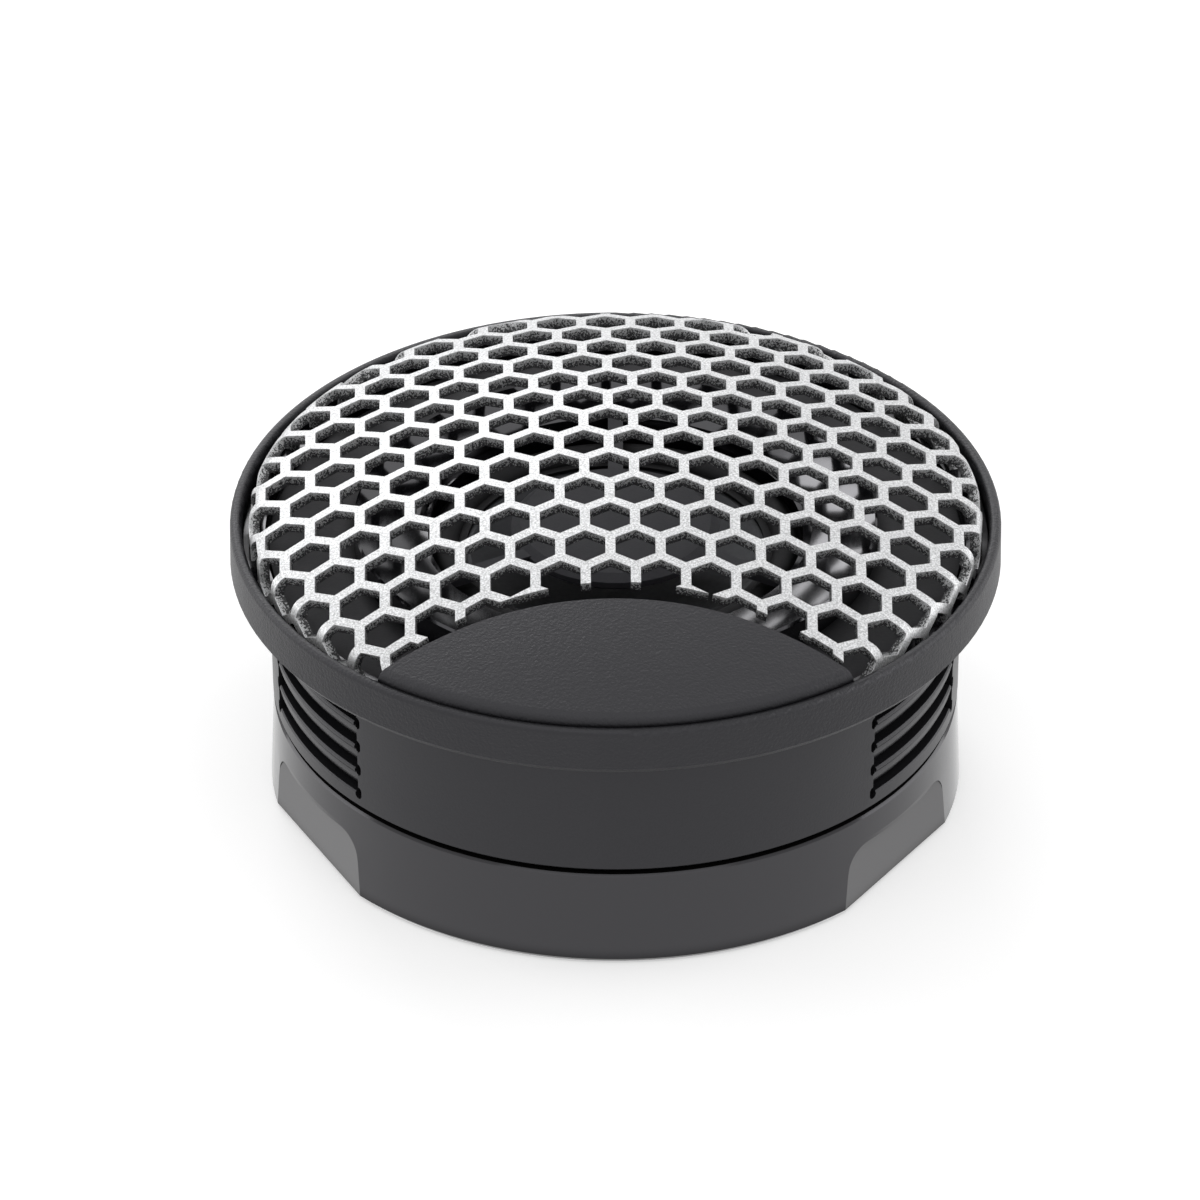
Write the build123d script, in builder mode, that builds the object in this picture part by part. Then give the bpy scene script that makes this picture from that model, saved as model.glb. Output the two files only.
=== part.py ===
from build123d import *
from math import cos, hypot, radians, sin, sqrt
import os

# Millimetres. The base stands on Z = 0, +Z runs up the speaker's axis and the nameplate faces -Y.

# Base that is screwed or taped to the car's trim
base_radius_foot = 22.9
base_radius_top = 22.7
base_height = 6.85
base_floor = 2.0
base_wall_inner = 20.6
foot_chamfer = 0.35
base_turn = -3.0
facet_width = 12.3
facet_top_width = 11.0
facet_distance = sqrt(base_radius_foot**2 - (facet_width / 2) ** 2)
facet_height = 4.75
facet_corner = 1.9
facet_angles = (-150 + base_turn, -30 + base_turn, 90 + base_turn)
mount_circle = 28.0
mount_hole = 1.7
mount_head = 2.4
mount_angles = (-90 + base_turn, 30 + base_turn, 150 + base_turn)
wire_hole = 5.0
pad_inner = 7.0
pad_outer = 20.6
pad_thickness = 0.6
pad_recess = 0.7
outlet_angle = 90 + base_turn
outlet_radius = 1.4
outlet_height = 2.9
outlet_flange = 1.8
cord_hole = 1.0

# The turning fit between base and housing
shadow_gap = 0.4
spigot_radius = 19.0
spigot_inner = 17.6
fit_clearance = 0.05
bearing_outer = 20.8
lip_bottom = 4.0
spigot_bottom = 2.6
hook_angles = (-150, -30, 90)
hook_half_angle = 12
hook_reach = 0.7
hook_slit = 0.9
turn_each_way = 30
stop_angle = 150
stop_half_angle = 4
stop_play = 0.3
stop_reach = 0.9

# Housing with its finger grips
housing_bottom = base_height + shadow_gap
housing_top = 16.7
housing_radius_bottom = 22.75
housing_radius_top = 22.95
housing_inner = 21.1
housing_floor = 8.3
deck_bottom = 5.6
deck_hole = 10.0
groove_count = 4
groove_first = 8.36
groove_pitch = 1.857
groove_depth = 0.8
groove_lip = 0.28
groove_start = 48.0
groove_end = 77.5
pocket_width = 0.6
pocket_height = 0.9
wall_draft = (housing_radius_top - housing_radius_bottom) / (housing_top - housing_bottom)
gasket_inner = 21.65
gasket_outer = 22.15
gasket_depth = 0.5

# Bezel and crescent nameplate
bezel_radius = 25.5
bezel_widest = 17.1
rim_top = 20.0
rim_wall = 0.8
rim_inner = bezel_radius - rim_wall
rim_floor = 17.9
rim_rounding = 0.35
bezel_inner = 20.4
bezel_lip_bottom = 15.5
plate_arc_radius = 30.0
plate_arc_centre = 45.0
plate_thickness = 1.4
plate_edge_rounding = 0.9

# Domed grille
dome_apex = 25.2
dome_rise = 4.47
edge_groove = 0.45
grille_radius = rim_inner - edge_groove
dome_radius = (grille_radius**2 + dome_rise**2) / (2 * dome_rise)
grille_thickness = 0.7
grille_roll = 1.1
grille_seat = 18.7
edge_band = 0.7
cell_pitch = 3.29
strut_width = 0.66
pattern_x = -0.43
pattern_y = -1.49
pattern_turn = 0.54
plate_gap = 1.5
seal_inner = grille_radius - 1.05
seal_outer = rim_inner - 0.1

# Baffle, horn ring and phase disc
baffle_bottom = 17.3
baffle_top = 18.2
baffle_radius = bezel_radius - 2.6
baffle_inner = 14.6
post_circle = 16.0
post_radius = 1.35
post_angles = (90, 210, 330)
post_bore = 0.85
screw_shank = 0.8
screw_length = 7.0
horn_outer = 17.3
horn_inner = 13.0
horn_outer_top = 20.1
horn_inner_top = 19.5
horn_throat = 12.4
horn_collar = 14.5
arm_seat = 18.9
arm_thickness = 0.6
arm_width = 1.0
disc_radius = 6.9
disc_top = 19.8
disc_bottom = 18.8
disc_bevel = 0.6

# Diaphragm and its suspension
diaphragm_plane = 17.5
dome_depth = 2.0
foil = 0.25
lip_outer = 10.4
lip_inner = 9.6
former_inner = 9.7
former_outer = 9.95
former_bottom = 11.9
coil_outer = 10.35
coil_bottom = 12.0
coil_height = 2.6
roll_middle = 11.3
roll_radius = 0.9
rubber = 0.2
surround_outer = 13.4
frame_inner = 12.2
frame_outer = 14.4

# Motor
yoke_radius = 13.6
yoke_bottom = 7.2
yoke_floor = 9.0
yoke_top = 14.0
yoke_lip = 10.8
yoke_inner = 11.4
plate_bottom = 12.5
pole_radius = 9.25
magnet_radius = 8.9
seat_clearance = 0.05
felt_radius = 7.0
felt_thickness = 0.6
foam_inner = 17.9
foam_top = 13.5

# Wiring
rivet_height = 15.5
rivet_radius = 0.4
lead_circle = 15.9
lead_radius = 0.4
lead_bore = 0.8
board_radius = 12.5
board_bottom = 4.4
board_screw_circle = 11.2
lug_offset = 7.0
lug_thickness = 0.5
lug_width = 2.8
lug_bottom = 2.7
lead_height = 3.85


def sphere_height(r, inset=0.0):
    """Height of the grille's sphere at radius r, for a surface the inset below its outer face."""
    return dome_apex - dome_radius + sqrt((dome_radius - inset) ** 2 - r**2)


def on_circle(radius, degrees):
    """Point at a radius and an angle in the XY plane."""
    return (radius * cos(radians(degrees)), radius * sin(radians(degrees)))


def radial_plane(degrees):
    """Upright plane through the axis: its x runs outward at the angle and its y runs up."""
    x, y = on_circle(1, degrees)
    return Plane(origin=(0, 0, 0), x_dir=(x, y, 0), z_dir=(y, -x, 0))


def tangent_plane(distance, degrees, height):
    """Upright plane square to the radius at the angle: its z runs outward and its y runs up."""
    x, y = on_circle(1, degrees)
    return Plane(origin=(distance * x, distance * y, height), x_dir=(-y, x, 0), z_dir=(x, y, 0))


# Surface-mount base: a shallow moulded cup with three flats for gripping it
with BuildPart() as base_mount:
    with BuildSketch(Plane.XZ):
        with BuildLine():
            Polyline(
                (wire_hole, 0),
                (pad_inner, 0),
                (pad_inner, pad_recess),
                (pad_outer, pad_recess),
                (pad_outer, 0),
                (base_radius_foot - foot_chamfer, 0),
                (base_radius_foot, foot_chamfer),
                (base_radius_top, base_height - 0.15),
                (base_radius_top - 0.15, base_height),
                (bearing_outer, base_height),
                (bearing_outer, housing_bottom),
                (spigot_radius + fit_clearance, housing_bottom),
                (spigot_radius + fit_clearance, lip_bottom),
                (base_wall_inner, lip_bottom),
                (base_wall_inner, base_floor),
                (wire_hole, base_floor),
                close=True,
            )
        make_face()
    revolve(axis=Axis.Z)
    # Window in the lip that the housing's stop travels in
    window_half_angle = turn_each_way + stop_half_angle + stop_play
    with BuildSketch(radial_plane(stop_angle + base_turn - window_half_angle)):
        with Locations((spigot_radius + stop_reach / 2, (lip_bottom + housing_bottom) / 2)):
            Rectangle(stop_reach + 0.3, housing_bottom - lip_bottom + 0.2)
    revolve(axis=Axis.Z, revolution_arc=2 * window_half_angle, mode=Mode.SUBTRACT)
    # Flats in the lower wall, rounded at their upper corners and chamfered along the foot
    for angle in facet_angles:
        with BuildSketch(tangent_plane(facet_distance, angle, 0)) as flat_outline:
            with BuildLine():
                Polyline(
                    (-facet_width / 2 - 0.4, -1),
                    (facet_width / 2 + 0.4, -1),
                    (facet_top_width / 2, facet_height),
                    (-facet_top_width / 2, facet_height),
                    close=True,
                )
            make_face()
            fillet(flat_outline.vertices().group_by(Axis.Y)[-1], facet_corner)
        extrude(amount=3, mode=Mode.SUBTRACT)
        with BuildSketch(radial_plane(angle)):
            with BuildLine():
                Polyline(
                    (facet_distance - foot_chamfer, 0),
                    (facet_distance + foot_chamfer, 2 * foot_chamfer),
                    (facet_distance + 1, -1),
                    (facet_distance - foot_chamfer - 1, -1),
                    close=True,
                )
            make_face()
        extrude(amount=facet_width / 2 + 0.4, both=True, mode=Mode.SUBTRACT)
    # Screw holes, countersunk from inside
    with Locations([(*on_circle(mount_circle / 2, a), base_floor) for a in mount_angles]):
        CounterSinkHole(mount_hole, mount_head, depth=base_floor, counter_sink_angle=90)
    # Cord outlet through the rear flat
    with BuildSketch(tangent_plane(base_wall_inner - 1, outlet_angle, outlet_height)):
        Circle(outlet_radius)
    extrude(amount=4, mode=Mode.SUBTRACT)
base_mount.part.label = "base_mount"

# Self-adhesive foam pad in the recess under the base
with BuildPart() as adhesive_pad:
    with BuildSketch(Plane.XY.offset(pad_recess - pad_thickness)):
        Circle(pad_outer - 0.1)
        Circle(pad_inner + 0.1, mode=Mode.SUBTRACT)
        with Locations([on_circle(mount_circle / 2, a) for a in mount_angles]):
            Circle(mount_hole + 0.4, mode=Mode.SUBTRACT)
    extrude(amount=pad_thickness)
adhesive_pad.part.label = "adhesive_pad"

# Rubber grommet in the cord outlet, its flange seated on the rear flat
with BuildPart() as cord_grommet:
    with BuildSketch(tangent_plane(base_wall_inner - 0.2, outlet_angle, outlet_height)):
        Circle(outlet_radius - seat_clearance)
    extrude(amount=facet_distance - base_wall_inner + 0.2)
    with BuildSketch(tangent_plane(facet_distance, outlet_angle, outlet_height)):
        Circle(outlet_flange)
    extrude(amount=0.6)
    fillet(cord_grommet.edges().filter_by(GeomType.CIRCLE).sort_by(Axis.Y)[-1], 0.25)
    with BuildSketch(tangent_plane(base_wall_inner - 1, outlet_angle, outlet_height)):
        Circle(cord_hole)
    extrude(amount=4, mode=Mode.SUBTRACT)
cord_grommet.part.label = "cord_grommet"

# Housing: drafted tube, deck that carries the motor, and the spigot that turns in the base
with BuildPart() as body_housing:
    with BuildSketch(Plane.XZ):
        with BuildLine():
            Polyline(
                (deck_hole, deck_bottom),
                (spigot_inner, deck_bottom),
                (spigot_inner, spigot_bottom),
                (spigot_radius, spigot_bottom),
                (spigot_radius, housing_bottom),
                (housing_radius_bottom - 0.15, housing_bottom),
                (housing_radius_bottom, housing_bottom + 0.15),
                (housing_radius_top, housing_top),
                (gasket_outer + 0.05, housing_top),
                (gasket_outer + 0.05, housing_top - gasket_depth),
                (gasket_inner - 0.05, housing_top - gasket_depth),
                (gasket_inner - 0.05, housing_top),
                (housing_inner, housing_top),
                (housing_inner, housing_floor),
                (yoke_radius + seat_clearance, housing_floor),
                (yoke_radius + seat_clearance, yoke_bottom),
                (deck_hole, yoke_bottom),
                close=True,
            )
        make_face()
    revolve(axis=Axis.Z)
    # Barbs on three spring fingers, which catch under the base's lip
    for angle in hook_angles:
        with BuildSketch(radial_plane(angle - hook_half_angle)):
            with BuildLine():
                Polyline(
                    (spigot_radius - 0.3, spigot_bottom),
                    (spigot_radius + 0.1, spigot_bottom),
                    (spigot_radius + hook_reach, lip_bottom - 0.7),
                    (spigot_radius + hook_reach, lip_bottom - 0.2),
                    (spigot_radius - 0.3, lip_bottom - 0.2),
                    close=True,
                )
            make_face()
        revolve(axis=Axis.Z, revolution_arc=2 * hook_half_angle)
        for side in (-1, 1):
            slit_angle = angle + side * (hook_half_angle + 1.6)
            with BuildSketch(tangent_plane(spigot_inner - 0.5, slit_angle, spigot_bottom)):
                Rectangle(hook_slit, 2 * (deck_bottom - spigot_bottom - 0.2))
            extrude(amount=spigot_radius - spigot_inner + 1, mode=Mode.SUBTRACT)
    # Stop that limits the turn
    with BuildSketch(radial_plane(stop_angle - stop_half_angle)):
        with Locations((spigot_radius + stop_reach / 2 - 0.1, (lip_bottom + 0.3 + housing_bottom) / 2)):
            Rectangle(stop_reach + 0.2, housing_bottom - lip_bottom - 0.3)
    revolve(axis=Axis.Z, revolution_arc=2 * stop_half_angle)
    # Finger grips: each groove curves in downwards to a sharp lip, with a rounded pocket at its ends
    for side in (-90, 90):
        for mirror in (-1, 1):
            panel_start = side + mirror * groove_start
            if mirror < 0:
                panel_start = side - groove_end
            for level in range(groove_count):
                height = groove_first + level * groove_pitch
                slope_top = height + groove_pitch - groove_lip
                wall = housing_radius_bottom + (height - housing_bottom) * wall_draft
                with BuildSketch(radial_plane(panel_start)):
                    with BuildLine():
                        Polyline(
                            (wall - 0.04, slope_top - 0.1),
                            (wall - 0.14, slope_top),
                            (wall + 0.5, slope_top + 0.1),
                            (wall + 0.5, height - 0.1),
                            (wall, height - 0.1),
                            (wall - 0.1, height),
                            (wall - groove_depth, height),
                            (wall - groove_depth, height + 0.15),
                        )
                        TangentArc(
                            (wall - 0.04, slope_top - 0.1),
                            (wall - groove_depth, height + 0.15),
                            tangent=(0, -1),
                        )
                    make_face()
                revolve(axis=Axis.Z, revolution_arc=groove_end - groove_start, mode=Mode.SUBTRACT)
            for level in range(groove_count):
                height = groove_first + level * groove_pitch
                for pocket_angle in (panel_start, panel_start + groove_end - groove_start):
                    with BuildSketch(tangent_plane(housing_radius_bottom + 0.5, pocket_angle, height)):
                        SlotOverall(pocket_height, pocket_width, rotation=90)
                    extrude(amount=-groove_depth - 0.4, mode=Mode.SUBTRACT)
    # Holes for the housing screws, the leads and the terminal board's screws
    with BuildSketch(Plane.XY.offset(deck_bottom)):
        with Locations([on_circle(post_circle, a) for a in post_angles]):
            Circle(screw_shank + 0.25)
        with Locations((lead_circle, 0), (-lead_circle, 0)):
            Circle(lead_bore)
    extrude(amount=housing_floor - deck_bottom, mode=Mode.SUBTRACT)
    with BuildSketch(Plane.XY.offset(deck_bottom)):
        with Locations((0, board_screw_circle), (0, -board_screw_circle)):
            Circle(0.7)
    extrude(amount=1.3, mode=Mode.SUBTRACT)
body_housing.part.label = "body_housing"

# Foam cord gasket in the groove on the housing's top edge
with BuildPart() as housing_gasket:
    with BuildSketch(Plane.XY.offset(housing_top - gasket_depth)):
        Circle(gasket_outer)
        Circle(gasket_inner, mode=Mode.SUBTRACT)
    extrude(amount=gasket_depth)
housing_gasket.part.label = "housing_gasket"

# Crescent nameplate: a piece of the dome bounded by a rising arc and the bezel's rim
with BuildPart() as nameplate:
    plate_edge = rim_inner + 0.1
    with BuildSketch(Plane.XZ) as plate_section:
        with BuildLine():
            ThreePointArc(
                (0, dome_apex),
                (plate_edge / 2, sphere_height(plate_edge / 2)),
                (plate_edge, sphere_height(plate_edge)),
            )
            Line((plate_edge, sphere_height(plate_edge)), (plate_edge, sphere_height(plate_edge, plate_thickness)))
            ThreePointArc(
                (plate_edge, sphere_height(plate_edge, plate_thickness)),
                (plate_edge / 2, sphere_height(plate_edge / 2, plate_thickness)),
                (0, dome_apex - plate_thickness),
            )
            Line((0, dome_apex - plate_thickness), (0, dome_apex))
        make_face()
        fillet(plate_section.vertices().group_by(Axis.X)[-1].sort_by(Axis.Y)[-1], plate_edge_rounding)
    revolve(axis=Axis.Z)
    with BuildSketch(Plane.XY.offset(rim_floor)):
        Circle(plate_edge + 1)
        with Locations((0, -plate_arc_centre)):
            Circle(plate_arc_radius, mode=Mode.INTERSECT)
    extrude(amount=dome_apex, mode=Mode.INTERSECT)

# Bezel: trim ring with its upright rim, moulded in one with the nameplate
with BuildPart() as front_bezel:
    with BuildSketch(Plane.XZ) as ring_section:
        with BuildLine():
            Polyline(
                (rim_inner, rim_top),
                (rim_inner, rim_floor),
                (baffle_radius + 0.1, rim_floor),
                (baffle_radius + 0.1, baffle_bottom),
                (bezel_inner, baffle_bottom),
                (bezel_inner, bezel_lip_bottom),
                (housing_inner - 0.1, bezel_lip_bottom),
                (housing_inner - 0.1, housing_top),
                (bezel_radius - 0.3, housing_top),
                (bezel_radius, bezel_widest),
                (bezel_radius, rim_top),
                close=True,
            )
        make_face()
        fillet(ring_section.vertices().group_by(Axis.Y)[-1], rim_rounding)
    revolve(axis=Axis.Z)
    add(nameplate.part)
front_bezel.part.label = "front_bezel"

# Grille: one perforated sheet pressed to a dome, with its edge rolled down into a skirt
inner_radius = grille_radius - grille_thickness
with BuildPart() as grille:
    with BuildSketch(Plane.XZ) as sheet_section:
        with BuildLine():
            ThreePointArc(
                (0, dome_apex),
                (grille_radius / 2, sphere_height(grille_radius / 2)),
                (grille_radius, sphere_height(grille_radius)),
            )
            Polyline(
                (grille_radius, sphere_height(grille_radius)),
                (grille_radius, grille_seat),
                (inner_radius, grille_seat),
                (inner_radius, sphere_height(inner_radius, grille_thickness)),
            )
            ThreePointArc(
                (inner_radius, sphere_height(inner_radius, grille_thickness)),
                (inner_radius / 2, sphere_height(inner_radius / 2, grille_thickness)),
                (0, dome_apex - grille_thickness),
            )
            Line((0, dome_apex - grille_thickness), (0, dome_apex))
        make_face()
        corners = sheet_section.vertices().group_by(Axis.X)
        fillet(corners[-1].sort_by(Axis.Y)[-1], grille_roll)
        fillet(corners[-2].sort_by(Axis.Y)[-1], grille_roll - grille_thickness)
    revolve(axis=Axis.Z)
    # Hexagonal cells in rows, the outermost ones running over the roll into the skirt
    row_pitch = cell_pitch * sqrt(3) / 2
    cell_radius = (cell_pitch - strut_width) / sqrt(3)
    whole_cells = []
    edge_cells = []
    for row in range(-9, 10):
        for column in range(-9, 10):
            along, across = (column + 0.5 * (row % 2)) * cell_pitch, row * row_pitch
            x = pattern_x + along * cos(radians(pattern_turn)) - across * sin(radians(pattern_turn))
            y = pattern_y + along * sin(radians(pattern_turn)) + across * cos(radians(pattern_turn))
            reach = hypot(x, y)
            if reach + cell_radius < inner_radius - 0.4:
                whole_cells.append((x, y))
            elif reach < grille_radius + 0.6 * cell_radius:
                edge_cells.append((x, y))
    with BuildSketch(Plane.XY.offset(grille_seat)):
        with Locations(whole_cells):
            RegularPolygon(cell_radius, 6, rotation=90 + pattern_turn)
    extrude(amount=dome_apex - grille_seat + 1, mode=Mode.SUBTRACT)
    with BuildSketch(Plane.XY.offset(grille_seat + edge_band)):
        with Locations(edge_cells):
            RegularPolygon(cell_radius, 6, rotation=90 + pattern_turn)
    extrude(amount=dome_apex - grille_seat, mode=Mode.SUBTRACT)
    # Cut away along the nameplate's arc
    with BuildSketch(Plane.XY.offset(grille_seat - 1)):
        with Locations((0, -plate_arc_centre)):
            Circle(plate_arc_radius + plate_gap)
    extrude(amount=dome_apex, mode=Mode.SUBTRACT)
grille.part.label = "grille"

# Glossy seal that the grille's skirt stands on inside the rim
with BuildPart() as grille_seal:
    with BuildSketch(Plane.XY.offset(rim_floor)):
        Circle(seal_outer)
        Circle(seal_inner, mode=Mode.SUBTRACT)
    extrude(amount=grille_seat - rim_floor)
grille_seal.part.label = "grille_seal"

# Baffle plate with three screw posts, clamping the bezel to the housing
with BuildPart() as baffle_plate:
    with BuildSketch(Plane.XY.offset(baffle_bottom)):
        Circle(baffle_radius)
        Circle(baffle_inner, mode=Mode.SUBTRACT)
    extrude(amount=baffle_top - baffle_bottom)
    with BuildSketch(Plane.XY.offset(housing_floor)):
        with Locations([on_circle(post_circle, a) for a in post_angles]):
            Circle(post_radius)
    extrude(amount=baffle_bottom + 0.2 - housing_floor)
    with BuildSketch(Plane.XY.offset(housing_floor)):
        with Locations([on_circle(post_circle, a) for a in post_angles]):
            Circle(post_bore)
    extrude(amount=screw_length - 1, mode=Mode.SUBTRACT)
baffle_plate.part.label = "baffle_plate"

# Horn ring: glossy collar around the diaphragm, with a ledge for the phase disc's arms
with BuildPart() as horn_ring:
    with BuildSketch(Plane.XZ):
        with BuildLine():
            Polyline(
                (horn_throat, diaphragm_plane + rubber),
                (horn_collar, diaphragm_plane + rubber),
                (horn_collar, baffle_top),
                (horn_outer, baffle_top),
                (horn_outer, horn_outer_top - 0.15),
                (horn_outer - 0.15, horn_outer_top),
                (horn_inner, horn_inner_top),
                (horn_inner, arm_seat),
                (horn_throat, arm_seat),
                close=True,
            )
        make_face()
    revolve(axis=Axis.Z)
horn_ring.part.label = "horn_ring"

# Phase disc: bevelled disc held over the diaphragm by three slim arms
with BuildPart() as phase_disc:
    with BuildSketch(Plane.XZ):
        with BuildLine():
            Polyline(
                (0, disc_bottom),
                (disc_radius - 0.2, disc_bottom),
                (disc_radius, disc_bottom + 0.2),
                (disc_radius, disc_top - 0.4),
                (disc_radius - disc_bevel, disc_top),
                (0, disc_top),
                close=True,
            )
        make_face()
    revolve(axis=Axis.Z)
    arm_length = horn_inner - seat_clearance - disc_radius + 1
    for angle in post_angles:
        with BuildSketch(tangent_plane(disc_radius - 1, angle, arm_seat + arm_thickness / 2)):
            Rectangle(arm_width, arm_thickness)
        extrude(amount=arm_length)
phase_disc.part.label = "phase_disc"

# Surround: moulded half-roll that centres the diaphragm and returns it
with BuildPart() as surround:
    with BuildSketch(Plane.XZ):
        with BuildLine():
            bottom = diaphragm_plane
            top = diaphragm_plane + rubber
            inside = roll_radius - rubber
            Line((lip_outer - 0.5, bottom), (roll_middle - inside, bottom))
            ThreePointArc((roll_middle - inside, bottom), (roll_middle, bottom + inside), (roll_middle + inside, bottom))
            Polyline((roll_middle + inside, bottom), (surround_outer, bottom), (surround_outer, top), (roll_middle + roll_radius, top))
            ThreePointArc((roll_middle + roll_radius, top), (roll_middle, bottom + roll_radius), (roll_middle - roll_radius, top))
            Polyline((roll_middle - roll_radius, top), (lip_outer - 0.5, top), (lip_outer - 0.5, bottom))
        make_face()
    revolve(axis=Axis.Z)
surround.part.label = "surround"

# Inverted dome: hollow metal cap with a flat lip, glued under the surround
bowl_radius = (lip_inner**2 + dome_depth**2) / (2 * dome_depth)
bowl_centre = diaphragm_plane - dome_depth + bowl_radius
back_edge = sqrt((bowl_radius + foil) ** 2 - (bowl_centre - diaphragm_plane + foil) ** 2)
with BuildPart() as inverted_dome:
    with BuildSketch(Plane.XZ):
        with BuildLine():
            ThreePointArc(
                (0, diaphragm_plane - dome_depth),
                (lip_inner / 2, bowl_centre - sqrt(bowl_radius**2 - lip_inner**2 / 4)),
                (lip_inner, diaphragm_plane),
            )
            Polyline(
                (lip_inner, diaphragm_plane),
                (lip_outer, diaphragm_plane),
                (lip_outer, diaphragm_plane - foil),
                (back_edge, diaphragm_plane - foil),
            )
            ThreePointArc(
                (back_edge, diaphragm_plane - foil),
                (back_edge / 2, bowl_centre - sqrt((bowl_radius + foil) ** 2 - back_edge**2 / 4)),
                (0, diaphragm_plane - dome_depth - foil),
            )
            Line((0, diaphragm_plane - dome_depth - foil), (0, diaphragm_plane - dome_depth))
        make_face()
    revolve(axis=Axis.Z)
inverted_dome.part.label = "inverted_dome"

# Thin tube that carries the winding under the dome's lip
with BuildPart() as coil_former:
    with BuildSketch(Plane.XY.offset(former_bottom)):
        Circle(former_outer)
        Circle(former_inner, mode=Mode.SUBTRACT)
    extrude(amount=diaphragm_plane - foil - former_bottom)
coil_former.part.label = "coil_former"

# Copper winding on the former, centred on the pole plate
with BuildPart() as voice_coil:
    with BuildSketch(Plane.XY.offset(coil_bottom)):
        Circle(coil_outer)
        Circle(former_outer, mode=Mode.SUBTRACT)
    extrude(amount=coil_height)
    fillet(voice_coil.edges().filter_by(GeomType.CIRCLE).group_by(SortBy.RADIUS)[-1], 0.12)
voice_coil.part.label = "voice_coil"

# Steel cup that returns the field around the coil
with BuildPart() as yoke_cup:
    with BuildSketch(Plane.XZ):
        with BuildLine():
            Polyline(
                (0, yoke_bottom),
                (yoke_radius - 0.4, yoke_bottom),
                (yoke_radius, yoke_bottom + 0.4),
                (yoke_radius, yoke_top),
                (yoke_lip, yoke_top),
                (yoke_lip, plate_bottom),
                (yoke_inner, plate_bottom - 0.4),
                (yoke_inner, yoke_floor),
                (0, yoke_floor),
                close=True,
            )
        make_face()
    revolve(axis=Axis.Z)
yoke_cup.part.label = "yoke_cup"

# Magnet disc standing in the cup
with BuildPart() as magnet:
    with BuildSketch(Plane.XY.offset(yoke_floor)):
        Circle(magnet_radius)
    extrude(amount=plate_bottom - yoke_floor)
    chamfer(magnet.edges().filter_by(GeomType.CIRCLE), 0.2)
magnet.part.label = "magnet"

# Steel plate on the magnet, the coil's inner pole
with BuildPart() as pole_plate:
    with BuildSketch(Plane.XY.offset(plate_bottom)):
        Circle(pole_radius)
    extrude(amount=yoke_top - plate_bottom)
    chamfer(pole_plate.edges().filter_by(GeomType.CIRCLE).sort_by(Axis.Z)[-1], 0.15)
pole_plate.part.label = "pole_plate"

# Felt disc that damps the air behind the dome
with BuildPart() as damping_felt:
    with BuildSketch(Plane.XY.offset(yoke_top)):
        Circle(felt_radius)
    extrude(amount=felt_thickness)
damping_felt.part.label = "damping_felt"

# Frame ring on the cup that the surround is glued to
with BuildPart() as diaphragm_frame:
    with BuildSketch(Plane.XY.offset(yoke_top)):
        Circle(frame_outer)
        Circle(frame_inner, mode=Mode.SUBTRACT)
    extrude(amount=diaphragm_plane - yoke_top)
    for angle in (0, 180):
        with BuildSketch(tangent_plane(frame_inner - 1, angle, rivet_height)):
            Circle(rivet_radius + seat_clearance)
        extrude(amount=frame_outer - frame_inner + 2, mode=Mode.SUBTRACT)
diaphragm_frame.part.label = "diaphragm_frame"

# Foam ring that fills the chamber around the motor
with BuildPart() as chamber_foam:
    with BuildSketch(Plane.XY.offset(housing_floor)):
        Circle(housing_inner - 0.15)
        Circle(foam_inner, mode=Mode.SUBTRACT)
    extrude(amount=foam_top - housing_floor)
chamber_foam.part.label = "chamber_foam"

# Two rivets that take the coil's current through the frame
with BuildPart() as frame_rivets:
    for angle in (0, 180):
        with BuildSketch(tangent_plane(frame_inner - 0.3, angle, rivet_height)):
            Circle(rivet_radius)
        extrude(amount=frame_outer - frame_inner + 0.3)
        with BuildSketch(tangent_plane(frame_outer, angle, rivet_height)):
            Circle(rivet_radius * 2)
        extrude(amount=0.4)
frame_rivets.part.label = "frame_rivets"

# Braided tails that flex between the coil and the rivets
with BuildPart() as tinsel_leads:
    for side in (-1, 1):
        with BuildLine() as tail_path:
            Spline(
                (side * (former_outer + 0.1), 0, rivet_height + 0.6),
                (side * (former_outer + 0.8), 0, rivet_height + 0.9),
                (side * (frame_inner - 0.8), 0, rivet_height - 0.1),
                (side * (frame_inner - 0.25), 0, rivet_height),
            )
        with BuildSketch(Plane(origin=tail_path.wire() @ 0, z_dir=tail_path.wire() % 0)):
            Circle(0.15)
        sweep(path=tail_path.wire())
tinsel_leads.part.label = "tinsel_leads"

# Insulated leads from the rivets down through the deck to the solder lugs
with BuildPart() as lead_wires:
    for side in (-1, 1):
        with BuildLine() as lead_path:
            FilletPolyline(
                (side * (frame_outer + 0.4), 0, rivet_height),
                (side * lead_circle, 0, rivet_height),
                (side * lead_circle, 0, lead_height),
                (side * (lug_offset + lug_thickness / 2), 0, lead_height),
                radius=0.9,
            )
        with BuildSketch(Plane(origin=lead_path.wire() @ 0, z_dir=lead_path.wire() % 0)):
            Circle(lead_radius)
        sweep(path=lead_path.wire())
lead_wires.part.label = "lead_wires"

# Round board under the deck that closes the chamber and carries the lugs
with BuildPart() as terminal_board:
    with BuildSketch(Plane.XY.offset(board_bottom)):
        Circle(board_radius)
        with Locations((0, board_screw_circle), (0, -board_screw_circle)):
            Circle(0.75, mode=Mode.SUBTRACT)
    extrude(amount=deck_bottom - board_bottom)
terminal_board.part.label = "terminal_board"

# Solder lugs with a foot on the board and an upright tab
with BuildPart() as solder_lugs:
    for side in (-1, 1):
        with Locations((side * lug_offset, 0, (lug_bottom + board_bottom) / 2)):
            Box(lug_thickness, lug_width, board_bottom - lug_bottom)
        with Locations((side * (lug_offset - 1.2), 0, board_bottom - 0.2)):
            Box(2.4, lug_width, 0.4)
solder_lugs.part.label = "solder_lugs"

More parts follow.
